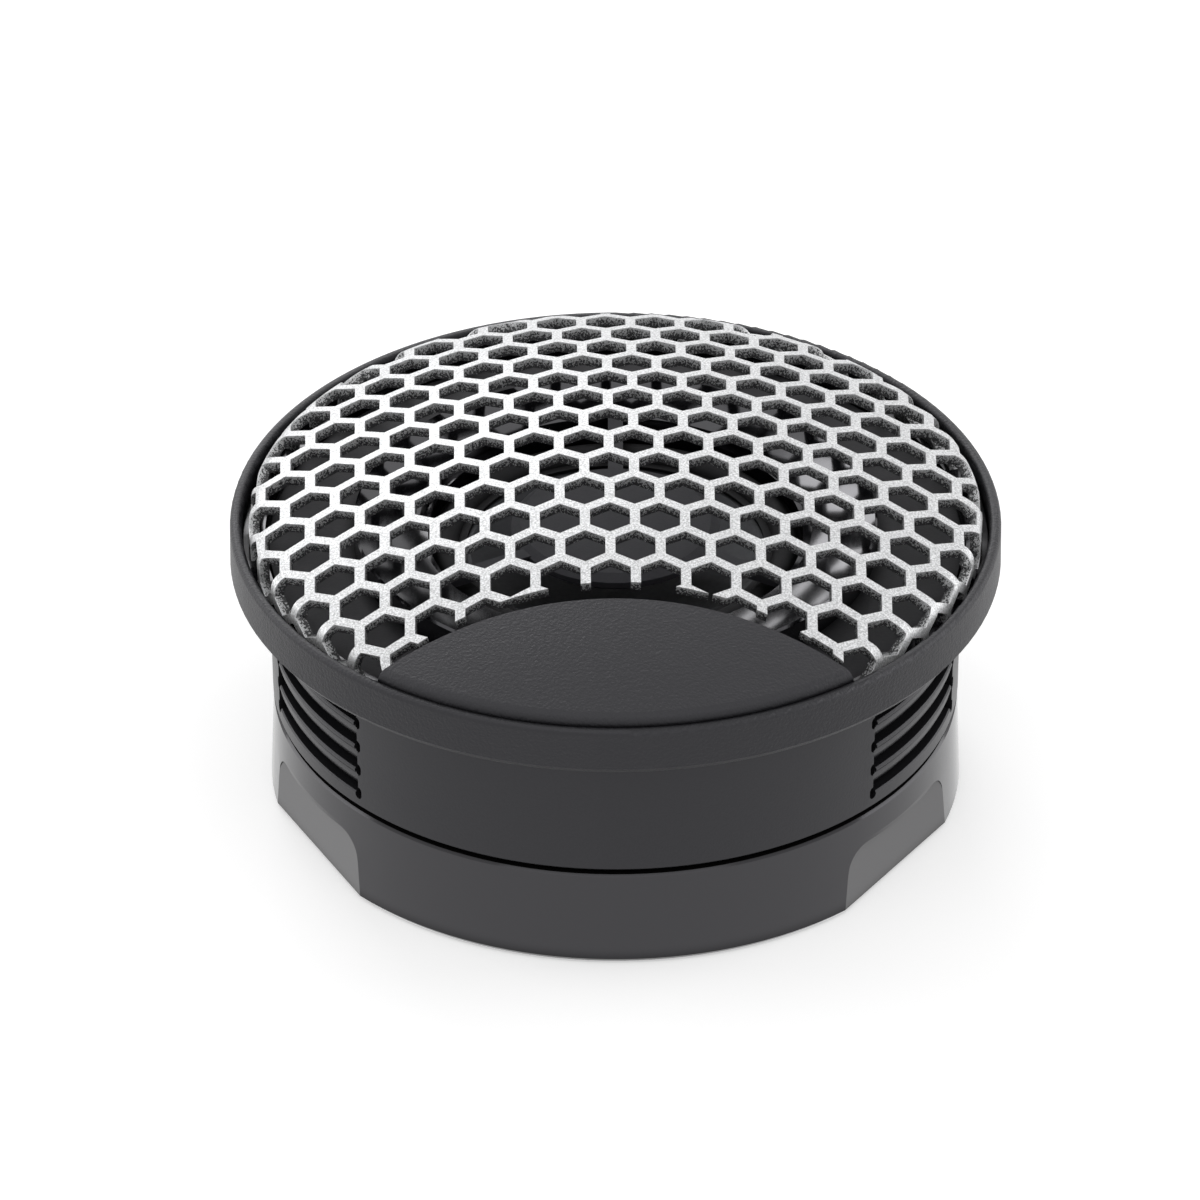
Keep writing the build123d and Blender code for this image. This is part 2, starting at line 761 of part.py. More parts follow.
# Small screws that hold the board
with BuildPart() as board_screws:
    with Locations((0, board_screw_circle, board_bottom), (0, -board_screw_circle, board_bottom)):
        Cylinder(0.65, 2.4, align=(Align.CENTER, Align.CENTER, Align.MIN))
    with Locations((0, board_screw_circle, board_bottom - 0.7), (0, -board_screw_circle, board_bottom - 0.7)):
        Cylinder(1.2, 0.7, align=(Align.CENTER, Align.CENTER, Align.MIN))
board_screws.part.label = "board_screws"

# Screws driven up through the deck into the baffle's posts
with BuildPart() as housing_screws:
    for angle in post_angles:
        spot = on_circle(post_circle, angle)
        with Locations((*spot, deck_bottom)):
            Cylinder(screw_shank, screw_length, align=(Align.CENTER, Align.CENTER, Align.MIN))
        with Locations((*spot, deck_bottom - 1)):
            Cylinder(1.5, 1, align=(Align.CENTER, Align.CENTER, Align.MIN))
        with Locations((*spot, deck_bottom - 1)):
            Box(1.6, 0.4, 1, mode=Mode.SUBTRACT)
            Box(0.4, 1.6, 1, mode=Mode.SUBTRACT)
housing_screws.part.label = "housing_screws"

os.makedirs("parts", exist_ok=True)
export_step(base_mount.part, "parts/base_mount.step")
export_step(adhesive_pad.part, "parts/adhesive_pad.step")
export_step(cord_grommet.part, "parts/cord_grommet.step")
export_step(body_housing.part, "parts/body_housing.step")
export_step(housing_gasket.part, "parts/housing_gasket.step")
export_step(front_bezel.part, "parts/front_bezel.step")
export_step(grille.part, "parts/grille.step")
export_step(grille_seal.part, "parts/grille_seal.step")
export_step(baffle_plate.part, "parts/baffle_plate.step")
export_step(horn_ring.part, "parts/horn_ring.step")
export_step(phase_disc.part, "parts/phase_disc.step")
export_step(surround.part, "parts/surround.step")
export_step(inverted_dome.part, "parts/inverted_dome.step")
export_step(coil_former.part, "parts/coil_former.step")
export_step(voice_coil.part, "parts/voice_coil.step")
export_step(yoke_cup.part, "parts/yoke_cup.step")
export_step(magnet.part, "parts/magnet.step")
export_step(pole_plate.part, "parts/pole_plate.step")
export_step(damping_felt.part, "parts/damping_felt.step")
export_step(diaphragm_frame.part, "parts/diaphragm_frame.step")
export_step(chamber_foam.part, "parts/chamber_foam.step")
export_step(frame_rivets.part, "parts/frame_rivets.step")
export_step(tinsel_leads.part, "parts/tinsel_leads.step")
export_step(lead_wires.part, "parts/lead_wires.step")
export_step(terminal_board.part, "parts/terminal_board.step")
export_step(solder_lugs.part, "parts/solder_lugs.step")
export_step(board_screws.part, "parts/board_screws.step")
export_step(housing_screws.part, "parts/housing_screws.step")
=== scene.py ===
import bmesh
import bpy
from math import asin, cos, hypot, pi, radians, sin, sqrt
from mathutils import Matrix, Vector


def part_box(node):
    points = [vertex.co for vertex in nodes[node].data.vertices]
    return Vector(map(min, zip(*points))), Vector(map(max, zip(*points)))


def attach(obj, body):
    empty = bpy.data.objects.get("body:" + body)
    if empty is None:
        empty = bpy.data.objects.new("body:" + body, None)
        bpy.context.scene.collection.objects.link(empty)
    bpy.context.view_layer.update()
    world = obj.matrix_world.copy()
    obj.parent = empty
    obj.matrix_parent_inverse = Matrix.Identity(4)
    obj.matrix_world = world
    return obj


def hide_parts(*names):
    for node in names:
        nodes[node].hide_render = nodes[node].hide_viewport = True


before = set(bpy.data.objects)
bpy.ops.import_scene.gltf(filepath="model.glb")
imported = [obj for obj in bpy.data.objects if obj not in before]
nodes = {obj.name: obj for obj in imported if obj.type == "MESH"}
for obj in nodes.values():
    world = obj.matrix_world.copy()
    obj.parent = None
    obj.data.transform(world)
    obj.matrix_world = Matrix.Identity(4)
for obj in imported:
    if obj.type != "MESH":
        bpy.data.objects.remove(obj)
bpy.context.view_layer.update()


# The camera.
# A long lens looks down on the nameplate from a good third of a right angle, as a catalogue picture
# does, so the far rim is hardly smaller than the near one.

camera_aim = Vector((-0.00103, 0.0, 0.01351))
camera_distance = 1.300
camera_elevation = radians(33.4)
focal_length = 588.5
sensor_width = 36.0
nearest_seen = 0.1
farthest_seen = 20.0
camera_data = bpy.data.cameras.new("catalogue_camera")
camera_data.lens = focal_length
camera_data.sensor_width = sensor_width
camera_data.clip_start = nearest_seen
camera_data.clip_end = farthest_seen
camera = bpy.data.objects.new("catalogue_camera", camera_data)
camera_back = Vector((0.0, -cos(camera_elevation), sin(camera_elevation)))
camera.location = camera_aim + camera_back * camera_distance
camera.rotation_mode = "QUATERNION"
camera.rotation_quaternion = (-camera_back).to_track_quat("-Z", "Y")
bpy.context.scene.collection.objects.link(camera)
bpy.context.scene.camera = camera
bpy.context.scene.view_settings.view_transform = "Standard"


# The table and its light.
# The speaker stands on a white sweep under four soft boxes: a large one above and in front, a small
# one behind its left shoulder, and one a little behind it on each side. The room around is pale.

table_reach = 3.0
table_grey = (0.86, 0.86, 0.86, 1.0)
table_glow = 0.44
room_light = 0.60
backdrop_light = 1.0
lamp_aim = Vector((0.0, 0.0, 0.01))


def as_piece(name, bm, smooth=False):
    for face in bm.faces:
        face.smooth = smooth
    mesh = bpy.data.meshes.new(name)
    bm.to_mesh(mesh)
    bm.free()
    piece = bpy.data.objects.new(name, mesh)
    bpy.context.scene.collection.objects.link(piece)
    return piece


def figure(nt, operation, *terms):
    node = nt.nodes.new("ShaderNodeMath")
    node.operation = operation
    for number, term in enumerate(terms):
        if isinstance(term, (int, float)):
            node.inputs[number].default_value = term
        else:
            nt.links.new(term, node.inputs[number])
    return node.outputs[0]


def mirror_rays(nt, rays):
    return figure(nt, "MAXIMUM", rays.outputs["Is Glossy Ray"], rays.outputs["Is Transmission Ray"])


def white_light(nt, kind, strength):
    light = nt.nodes.new(kind)
    light.inputs["Color"].default_value = (1.0, 1.0, 1.0, 1.0)
    light.inputs["Strength"].default_value = strength
    return light.outputs[0]


def shown_to(nt, rays, others, chosen):
    choice = nt.nodes.new("ShaderNodeMixShader")
    nt.links.new(rays, choice.inputs["Fac"])
    nt.links.new(others, choice.inputs[1])
    nt.links.new(chosen, choice.inputs[2])
    return choice.outputs[0]


bm = bmesh.new()
bmesh.ops.create_grid(bm, x_segments=1, y_segments=1, size=table_reach)
table = as_piece("white_table", bm)
table_paint = bpy.data.materials.new("white_sweep")
table_paint.use_nodes = True
nt = table_paint.node_tree
nt.nodes.clear()
rays = nt.nodes.new("ShaderNodeLightPath")
matt = nt.nodes.new("ShaderNodeBsdfDiffuse")
matt.inputs["Color"].default_value = table_grey
glowing = nt.nodes.new("ShaderNodeAddShader")
nt.links.new(matt.outputs[0], glowing.inputs[0])
nt.links.new(white_light(nt, "ShaderNodeEmission", table_glow), glowing.inputs[1])
looked_at = shown_to(nt, rays.outputs["Is Camera Ray"], matt.outputs[0], glowing.outputs[0])
plain_white = white_light(nt, "ShaderNodeEmission", backdrop_light)
surface = nt.nodes.new("ShaderNodeOutputMaterial")
mirrored = shown_to(nt, mirror_rays(nt, rays), looked_at, plain_white)
nt.links.new(mirrored, surface.inputs["Surface"])
table.data.materials.append(table_paint)

room = bpy.data.worlds.new("pale_room")
room.use_nodes = True
nt = room.node_tree
nt.nodes.clear()
rays = nt.nodes.new("ShaderNodeLightPath")
air = white_light(nt, "ShaderNodeBackground", room_light)
backdrop = white_light(nt, "ShaderNodeBackground", backdrop_light)
seen_or_mirrored = figure(nt, "MAXIMUM", rays.outputs["Is Camera Ray"], mirror_rays(nt, rays))
surface = nt.nodes.new("ShaderNodeOutputWorld")
nt.links.new(shown_to(nt, seen_or_mirrored, air, backdrop), surface.inputs["Surface"])
bpy.context.scene.world = room


def soft_box(name, place, width, height, watts):
    lamp = bpy.data.lights.new(name, "AREA")
    lamp.shape = "RECTANGLE"
    lamp.size = width
    lamp.size_y = height
    lamp.energy = watts
    box = bpy.data.objects.new(name, lamp)
    box.location = place
    box.rotation_mode = "QUATERNION"
    box.rotation_quaternion = (lamp_aim - Vector(place)).to_track_quat("-Z", "Y")
    bpy.context.scene.collection.objects.link(box)


soft_box("front_box", (0.0, -0.32, 0.62), 0.70, 0.40, 0.5)
soft_box("back_left_box", (-0.15, 0.52, 0.32), 0.30, 0.25, 0.75)
soft_box("left_box", (-0.58, 0.22, 0.24), 0.40, 0.40, 0.9)
soft_box("right_box", (0.58, 0.22, 0.24), 0.40, 0.40, 1.0)


# Base.
# Black glass-filled nylon, polished, and moulded in one with three flats in its wall. It is screwed
# or taped to the car's trim, and the housing snaps into its collar from above.


def new_finish(name):
    finish = bpy.data.materials.new(name)
    finish.use_nodes = True
    return finish, finish.node_tree, finish.node_tree.nodes["Principled BSDF"]


def toned(colour, share):
    return tuple(min(c * share, 1.0) for c in colour)


def speckle(nt, per_metre, detail, roughness=0.5):
    place = nt.nodes.new("ShaderNodeTexCoord")
    grains = nt.nodes.new("ShaderNodeTexNoise")
    grains.inputs["Scale"].default_value = per_metre
    grains.inputs["Detail"].default_value = detail
    grains.inputs["Roughness"].default_value = roughness
    nt.links.new(place.outputs["Object"], grains.inputs["Vector"])
    return grains.outputs["Fac"]


def stretch(nt, value, given=(0.0, 1.0), wanted=(0.0, 1.0)):
    scale = nt.nodes.new("ShaderNodeMapRange")
    scale.inputs["From Min"].default_value, scale.inputs["From Max"].default_value = given
    scale.inputs["To Min"].default_value, scale.inputs["To Max"].default_value = wanted
    nt.links.new(value, scale.inputs["Value"])
    return scale.outputs["Result"]


def blend(nt, share, first, second):
    tone = nt.nodes.new("ShaderNodeMix")
    tone.data_type = "RGBA"
    nt.links.new(share, tone.inputs["Factor"])
    for side, colour in (("A", first), ("B", second)):
        if isinstance(colour, tuple):
            tone.inputs[side].default_value = (*colour, 1.0)
        else:
            nt.links.new(colour, tone.inputs[side])
    return tone.outputs["Result"]


def roughen(nt, shader, pattern, relief):
    bump = nt.nodes.new("ShaderNodeBump")
    bump.inputs["Strength"].default_value = 1.0
    bump.inputs["Distance"].default_value = relief
    nt.links.new(pattern, bump.inputs["Height"])
    nt.links.new(bump.outputs["Normal"], shader.inputs["Normal"])


def moulded_plastic(name, colour, roughness, grain, relief, refraction=1.49, painted_shade_reach=0.0012):
    cool_gloss = (0.95, 0.94, 1.0, 1.0)
    flow_marks_per_metre = 160.0
    pits_painted_shade = 0.78
    land_painted_light = 1.24
    polish_varies = 0.06
    painted_shade_air = (0.45, 0.98)
    painted_shade_gloss = (0.03, 0.50)
    plastic, nt, shader = new_finish(name)
    shader.inputs["IOR"].default_value = refraction
    shader.inputs["Specular Tint"].default_value = cool_gloss
    pits = speckle(nt, 1.0 / grain, detail=3.0, roughness=0.6)
    # The grain is real texture; its pits are painted darker and its land paler, as painted shade
    # and light over the plastic's colour.
    tone = blend(nt, pits, toned(colour, pits_painted_shade), toned(colour, land_painted_light))
    nt.links.new(tone, shader.inputs["Base Color"])
    flow = speckle(nt, flow_marks_per_metre, detail=2.0)
    polish = stretch(nt, flow, wanted=(roughness - polish_varies, roughness + polish_varies))
    nt.links.new(polish, shader.inputs["Roughness"])
    roughen(nt, shader, pits, relief)
    # Painted shade: occlusion turns the gloss down in creases, grooves and under overhangs, so they
    # read darker.
    crevice = nt.nodes.new("ShaderNodeAmbientOcclusion")
    crevice.samples = 8
    crevice.inputs["Distance"].default_value = painted_shade_reach
    gloss = stretch(nt, crevice.outputs["AO"], painted_shade_air, painted_shade_gloss)
    nt.links.new(gloss, shader.inputs["Specular IOR Level"])
    return plastic


base_nylon = moulded_plastic("base_nylon", (0.008, 0.0075, 0.0078), 0.12, 0.00025, 0.000002, 1.65)
nodes["base_mount"].material_slots[0].material = base_nylon


def place_axes(nt):
    place = nt.nodes.new("ShaderNodeTexCoord")
    axes = nt.nodes.new("ShaderNodeSeparateXYZ")
    nt.links.new(place.outputs["Object"], axes.inputs[0])
    return axes.outputs


# The three flats are painted paler than the polished wall round them: a painted reflection of the
# bright floor they face.
flat_angles = (-153.0, -33.0, 87.0)
flat_top = 0.0050
flat_facing = (0.985, 0.997)
painted_reflection_grey = (0.060, 0.059, 0.058)
nt = base_nylon.node_tree
shader = nt.nodes["Principled BSDF"]
polished = shader.inputs["Base Color"].links[0].from_socket
place = nt.nodes.new("ShaderNodeTexCoord")
facing = -1.0
for angle in flat_angles:
    outwards = nt.nodes.new("ShaderNodeVectorMath")
    outwards.operation = "DOT_PRODUCT"
    outwards.inputs[1].default_value = (cos(radians(angle)), sin(radians(angle)), 0.0)
    nt.links.new(place.outputs["Normal"], outwards.inputs[0])
    facing = figure(nt, "MAXIMUM", facing, outwards.outputs["Value"])
below_top = figure(nt, "LESS_THAN", place_axes(nt)["Z"], flat_top)
painted_reflection_mask = figure(nt, "MULTIPLY", stretch(nt, facing, given=flat_facing), below_top)
nt.links.new(blend(nt, painted_reflection_mask, polished, painted_reflection_grey), shader.inputs["Base Color"])


# Adhesive pad.
# Acrylic foam tape, punched as a ring with three screw holes. It is stuck in the recess under the
# base, and its face stays a hair inside the foot.

pad_outer = 0.0205
pad_inner = 0.0071
pad_edge = 0.00009
screw_circle = 0.014
screw_gap = 0.0021
screw_angles = (-93.0, 27.0, 147.0)


def round_edges(bm, width, steps):
    nearly_square = 1.2
    edges = [e for e in bm.edges if e.calc_face_angle(0.0) > nearly_square]
    bmesh.ops.bevel(bm, geom=edges, offset=width, segments=steps, profile=0.5, affect="EDGES",
                    material=-1)


def foamed(name, colour, cell, depth, roughness):
    soft_sheen = 0.25
    cell_pits_painted_shade = 0.55
    cell_rims_painted_light = 1.5
    skin_marks_per_cell = 0.35
    foam, nt, shader = new_finish(name)
    shader.inputs["Roughness"].default_value = roughness
    shader.inputs["Sheen Weight"].default_value = soft_sheen
    place = nt.nodes.new("ShaderNodeTexCoord")
    cells = nt.nodes.new("ShaderNodeTexVoronoi")
    cells.inputs["Scale"].default_value = 1.0 / cell
    nt.links.new(place.outputs["Object"], cells.inputs["Vector"])
    skin = speckle(nt, skin_marks_per_cell / cell, detail=5.0)
    open_cells = figure(nt, "MULTIPLY", cells.outputs["Distance"], skin)
    # Painted shade and light: the foam's colour is darkened in the cell pits and paled on the rims,
    # following the bumps.
    tone = blend(nt, open_cells, toned(colour, cell_pits_painted_shade), toned(colour, cell_rims_painted_light))
    nt.links.new(tone, shader.inputs["Base Color"])
    roughen(nt, shader, open_cells, depth)
    return foam


pad_low, pad_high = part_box("adhesive_pad")
bm = bmesh.new()
bmesh.ops.create_circle(bm, segments=144, radius=pad_outer)
bmesh.ops.create_circle(bm, segments=64, radius=pad_inner)
for angle in screw_angles:
    middle = (screw_circle * cos(radians(angle)), screw_circle * sin(radians(angle)), 0.0)
    bmesh.ops.create_circle(bm, segments=40, radius=screw_gap, matrix=Matrix.Translation(middle))
bmesh.ops.triangle_fill(bm, edges=bm.edges[:], use_beauty=True)
raised = bmesh.ops.extrude_face_region(bm, geom=bm.faces[:])
raised_points = [v for v in raised["geom"] if isinstance(v, bmesh.types.BMVert)]
bmesh.ops.translate(bm, verts=raised_points, vec=(0.0, 0.0, pad_high.z - pad_low.z))
bmesh.ops.translate(bm, verts=bm.verts, vec=(0.0, 0.0, pad_low.z))
bmesh.ops.recalc_face_normals(bm, faces=bm.faces)
round_edges(bm, pad_edge, steps=2)
pad = as_piece("foam_tape", bm)
acrylic_foam = foamed("acrylic_foam", (0.055, 0.056, 0.060), 0.00035, 0.00008, 0.85)
pad.data.materials.append(acrylic_foam)
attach(pad, "base")
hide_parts("adhesive_pad")


# Cord grommet.
# Soft black rubber, pushed into the outlet from outside until its flange sits on the rear flat.

grommet_rubber = moulded_plastic("grommet_rubber", (0.014, 0.014, 0.014), 0.62, 0.00018, 0.000010)
nodes["cord_grommet"].material_slots[0].material = grommet_rubber


# Motor: yoke cup, magnet and pole plate.
# The cup and the plate are turned from mild steel and plated dull, and the neodymium disc between
# them is nickelled. Glue and the magnet's own pull hold the stack on the housing's deck.


def plated_metal(name, colour, roughness, streak):
    stains_per_metre = 450.0
    dark_stain = 0.84
    bright_stain = 1.12
    smooth_streak = 0.75
    rough_streak = 1.25
    streak_depth = 0.000004
    metal, nt, shader = new_finish(name)
    shader.inputs["Metallic"].default_value = 1.0
    stain = speckle(nt, stains_per_metre, detail=4.0)
    tone = blend(nt, stain, toned(colour, dark_stain), toned(colour, bright_stain))
    nt.links.new(tone, shader.inputs["Base Color"])
    turned = speckle(nt, 1.0 / streak, detail=2.0)
    polish = stretch(nt, turned, wanted=(roughness * smooth_streak, roughness * rough_streak))
    nt.links.new(polish, shader.inputs["Roughness"])
    roughen(nt, shader, turned, streak_depth)
    return metal


cup_plating = plated_metal("cup_plating", (0.42, 0.43, 0.44), 0.42, 0.00020)
magnet_nickel = plated_metal("magnet_nickel", (0.60, 0.58, 0.54), 0.22, 0.00035)
nodes["yoke_cup"].material_slots[0].material = cup_plating
nodes["pole_plate"].material_slots[0].material = cup_plating
nodes["magnet"].material_slots[0].material = magnet_nickel


# Damping felt.
# A punched disc of grey wool felt, glued on the pole plate to calm the air under the dome.

felt_edge = 0.00018
felt_low, felt_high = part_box("damping_felt")
felt_place = Matrix.Translation((0.0, 0.0, (felt_low.z + felt_high.z) / 2))
bm = bmesh.new()
bmesh.ops.create_cone(bm, cap_ends=True, segments=96, radius1=felt_high.x, radius2=felt_high.x,
                      depth=felt_high.z - felt_low.z, matrix=felt_place)
round_edges(bm, felt_edge, steps=3)
felt = as_piece("felt_disc", bm, smooth=True)
felt.data.materials.append(foamed("wool_felt", (0.26, 0.26, 0.25), 0.00012, 0.00006, 0.95))
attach(felt, "speaker")
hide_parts("damping_felt")


# Diaphragm frame and its rivets.
# A moulded ring that stands on the cup and holds the surround at the right height. Two brass rivets
# carry the current through it.

frame_plastic = moulded_plastic("frame_plastic", (0.020, 0.020, 0.021), 0.50, 0.00025, 0.000010)
rivet_brass = plated_metal("rivet_brass", (0.72, 0.56, 0.28), 0.30, 0.00020)
nodes["diaphragm_frame"].material_slots[0].material = frame_plastic
nodes["frame_rivets"].material_slots[0].material = rivet_brass


# Surround.
# A thin half-roll of black foam rubber, glued to the frame outside and to the dome's lip inside.

# Its colour is blacker than the rubber's own: partly black rubber, partly painted shade deepening
# the dark round the dome.
surround_rubber = moulded_plastic("surround_rubber", (0.005, 0.005, 0.005), 0.70, 0.00014, 0.000014)
nodes["surround"].material_slots[0].material = surround_rubber


# Dome, former and coil.
# The dome is drawn inwards from light-alloy foil. Its lip carries a former of brown polyimide film,
# wound with two layers of lacquered copper.

dome_foil = plated_metal("dome_foil", (0.055, 0.056, 0.060), 0.45, 0.00030)
nodes["inverted_dome"].material_slots[0].material = dome_foil
former_film = moulded_plastic("former_film", (0.30, 0.14, 0.035), 0.28, 0.00050, 0.000004)
nodes["coil_former"].material_slots[0].material = former_film

wire_pitch = 0.00017
wire_relief = 0.00005
waves_per_scale = 20
painted_shade_between_wires = (0.30, 0.10, 0.04)
copper_crown = (0.78, 0.36, 0.18)
copper_roughness = 0.28
winding, nt, shader = new_finish("lacquered_copper")
shader.inputs["Metallic"].default_value = 1.0
shader.inputs["Roughness"].default_value = copper_roughness
place = nt.nodes.new("ShaderNodeTexCoord")
turns = nt.nodes.new("ShaderNodeTexWave")
turns.bands_direction = "Z"
turns.inputs["Scale"].default_value = 1.0 / (wire_pitch * waves_per_scale)
nt.links.new(place.outputs["Object"], turns.inputs["Vector"])
# Painted shade: the copper is darkened between the wires, following the turns' relief.
tone = blend(nt, turns.outputs["Fac"], painted_shade_between_wires, copper_crown)
nt.links.new(tone, shader.inputs["Base Color"])
roughen(nt, shader, turns.outputs["Fac"], wire_relief)
nodes["voice_coil"].material_slots[0].material = winding


# Tails and leads.
# Silvered tinsel runs from the coil to the rivets, and black-covered stranded wire from there down
# to the board. Each end is soldered.

tinsel_silver = plated_metal("tinsel_silver", (0.70, 0.62, 0.50), 0.38, 0.00010)
nodes["tinsel_leads"].material_slots[0].material = tinsel_silver
lead_cover = moulded_plastic("lead_cover", (0.016, 0.016, 0.017), 0.44, 0.00030, 0.000006)
nodes["lead_wires"].material_slots[0].material = lead_cover


# Housing.
# The same nylon as the base, textured where that is polished. Four panels of finger grooves let a
# thumb and a finger turn it, and three barbed springs hold it in the base.

housing_nylon = moulded_plastic("housing_nylon", (0.013, 0.013, 0.0145), 0.36, 0.00018, 0.000010)
nodes["body_housing"].material_slots[0].material = housing_nylon


# Chamber foam and gasket.
# A ring of open-cell foam fills the chamber around the motor, and a thin foam cord seals the joint
# under the trim ring. Both are pressed in dry.

chamber_inner = 0.0179
chamber_rounding = 0.0006
cord_inner = 0.02165
cord_rounding = 0.00018
ring_steps = 120
seam_weld = 0.000001


def foam_ring(name, node, inner, rounding, foam):
    low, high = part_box(node)
    bm = bmesh.new()
    corners = [bm.verts.new((x, 0.0, z)) for x, z in
               ((inner, low.z), (high.x, low.z), (high.x, high.z), (inner, high.z))]
    bm.faces.new(corners)
    bmesh.ops.bevel(bm, geom=bm.verts[:], offset=rounding, segments=4, profile=0.5,
                    affect="VERTICES", material=-1)
    bmesh.ops.delete(bm, geom=bm.faces[:], context="FACES_ONLY")
    bmesh.ops.spin(bm, geom=bm.verts[:] + bm.edges[:], cent=(0, 0, 0), axis=(0, 0, 1), angle=2 * pi,
                   steps=ring_steps, use_merge=True)
    bmesh.ops.remove_doubles(bm, verts=bm.verts, dist=seam_weld)
    bmesh.ops.recalc_face_normals(bm, faces=bm.faces)
    ring = as_piece(name, bm, smooth=True)
    ring.data.materials.append(foam)
    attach(ring, "speaker")
    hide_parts(node)


open_foam = foamed("open_cell_foam", (0.085, 0.085, 0.090), 0.00060, 0.00020, 0.95)
foam_ring("chamber_ring", "chamber_foam", chamber_inner, chamber_rounding, open_foam)
foam_ring("foam_cord", "housing_gasket", cord_inner, cord_rounding, open_foam)


# Terminal board, lugs and their screws.
# Green glass-epoxy board that closes the chamber from below, two brass lugs riveted to it, and two
# small zinc-plated screws.

board_epoxy = moulded_plastic("board_epoxy", (0.016, 0.090, 0.040), 0.36, 0.00045, 0.000012)
nodes["terminal_board"].material_slots[0].material = board_epoxy
nodes["solder_lugs"].material_slots[0].material = rivet_brass
screw_zinc = plated_metal("screw_zinc", (0.62, 0.63, 0.65), 0.30, 0.00015)
nodes["board_screws"].material_slots[0].material = screw_zinc


# Baffle and housing screws.
# A matt black ring that clamps the trim ring to the housing. Its three posts take the screws, which
# come up through the housing's deck.

baffle_plastic = moulded_plastic("baffle_plastic", (0.012, 0.012, 0.013), 0.55, 0.00022, 0.000014)
nodes["baffle_plate"].material_slots[0].material = baffle_plastic
nodes["housing_screws"].material_slots[0].material = screw_zinc


# Horn ring.
# A collar in polished black styrene around the diaphragm. The lights draw crisp lines on it that
# show through the grille.

horn_gloss = moulded_plastic("horn_gloss", (0.004, 0.004, 0.005), 0.10, 0.00200, 0.000001, 1.75)
nodes["horn_ring"].material_slots[0].material = horn_gloss


# Phase disc.
# Dark grey styrene with a fine texture and a bevelled edge, held over the dome by three slim arms.

disc_plastic = moulded_plastic("disc_plastic", (0.028, 0.028, 0.032), 0.55, 0.00016, 0.000010)
nodes["phase_disc"].material_slots[0].material = disc_plastic


# Trim ring with its nameplate.
# Black plastic with a spark-eroded texture all over, finer than leather and dead even. The crescent
# nameplate grows out of the rim and carries the dome's curve on.

# Its longer occlusion reach paints a wider shade into the crease where the nameplate meets the rim.
trim_plastic = moulded_plastic("trim_plastic", (0.012, 0.012, 0.0135), 0.42, 0.00021, 0.000060,
                               painted_shade_reach=0.0030)
nodes["front_bezel"].material_slots[0].material = trim_plastic


# Grille seal.
# A glossy black ring on the floor of the rim. The grille's skirt is glued down on it.

nodes["grille_seal"].material_slots[0].material = horn_gloss


# Grille.
# Steel sheet, punched with hexagons while flat, then drawn to a dome with its edge rolled down into
# the rim. It is primed black all over and sprayed silver from outside.

cell_pitch = 0.00329
strut_width = 0.00066
pattern_x = -0.00043
pattern_y = -0.00149
pattern_turn = radians(0.54)
rows_each_way = 9
sheet_thickness = 0.0007
painted_edge = 0.00014
painted_past = radians(50)
dome_apex = 0.0252
dome_radius = 0.068
grille_radius = 0.02425
roll_radius = 0.0011
grille_seat = 0.0187
cut_arc_centre = Vector((0.00025, -0.03725, 0.0))
cut_arc_radius = 0.02375
edge_cuts = 90
edge_margin = 0.0002
edge_splits = 4
cut_snap = 0.000001
corner_weld = 0.00001
edge_weld = 0.00002

dome_centre_height = dome_apex - dome_radius
roll_centre = grille_radius - roll_radius
roll_height = dome_centre_height + sqrt((dome_radius - roll_radius) ** 2 - roll_centre ** 2)
roll_slope = asin(roll_centre / (dome_radius - roll_radius))
roll_start = dome_radius * sin(roll_slope)
roll_length = roll_radius * (pi / 2 - roll_slope)
skirt_length = roll_height - grille_seat
blank_radius = roll_start + (roll_length + skirt_length) * cos(roll_slope)

# The flat blank: hexagons side by side, each left as a frame of half struts.
cell_corner = cell_pitch / sqrt(3)
pattern_place = Matrix.Translation((pattern_x, pattern_y, 0.0))
pattern_place = pattern_place @ Matrix.Rotation(pattern_turn, 4, "Z")
bm = bmesh.new()
for row in range(-rows_each_way, rows_each_way + 1):
    for column in range(-rows_each_way, rows_each_way + 1):
        along = (column + 0.5 * (row % 2)) * cell_pitch
        across = row * cell_pitch * sqrt(3) / 2
        if hypot(along, across) < blank_radius + 2 * cell_pitch:
            place = pattern_place @ Matrix.Translation((along, across, 0.0))
            bmesh.ops.create_circle(bm, cap_ends=True, segments=6, radius=cell_corner, matrix=place)
bmesh.ops.remove_doubles(bm, verts=bm.verts, dist=corner_weld)
cells = bm.faces[:]
bmesh.ops.inset_individual(bm, faces=cells, thickness=strut_width / 2, use_even_offset=True)
bmesh.ops.delete(bm, geom=cells, context="FACES_ONLY")

# Its edge is cut round. Then the sheet is unrolled about the centre of the nameplate's arc, so that
# the arc is a straight cut, and rolled back.
for cut in range(edge_cuts):
    turn = 2 * pi * cut / edge_cuts
    outward = Vector((cos(turn), sin(turn), 0.0))
    bmesh.ops.bisect_plane(bm, geom=bm.verts[:] + bm.edges[:] + bm.faces[:], dist=cut_snap,
                           plane_co=outward * blank_radius, plane_no=outward, clear_outer=True)
for v in bm.verts:
    arm = v.co - cut_arc_centre
    v.co = Vector((arm.angle(Vector((1.0, 0.0, 0.0))), arm.length, 0.0))
bmesh.ops.bisect_plane(bm, geom=bm.verts[:] + bm.edges[:] + bm.faces[:], dist=cut_snap,
                       plane_co=(0.0, cut_arc_radius, 0.0), plane_no=(0.0, 1.0, 0.0),
                       clear_inner=True)
for v in bm.verts:
    v.co = cut_arc_centre + Vector((cos(v.co.x) * v.co.y, sin(v.co.x) * v.co.y, 0.0))
bmesh.ops.remove_doubles(bm, verts=bm.verts, dist=edge_weld)
bmesh.ops.triangulate(bm, faces=[f for f in bm.faces if len(f.verts) > 4])
bent_edges = [e for e in bm.edges
              if max(hypot(v.co.x, v.co.y) for v in e.verts) > roll_start - edge_margin]
bmesh.ops.subdivide_edges(bm, edges=bent_edges, cuts=edge_splits, use_grid_fill=True)

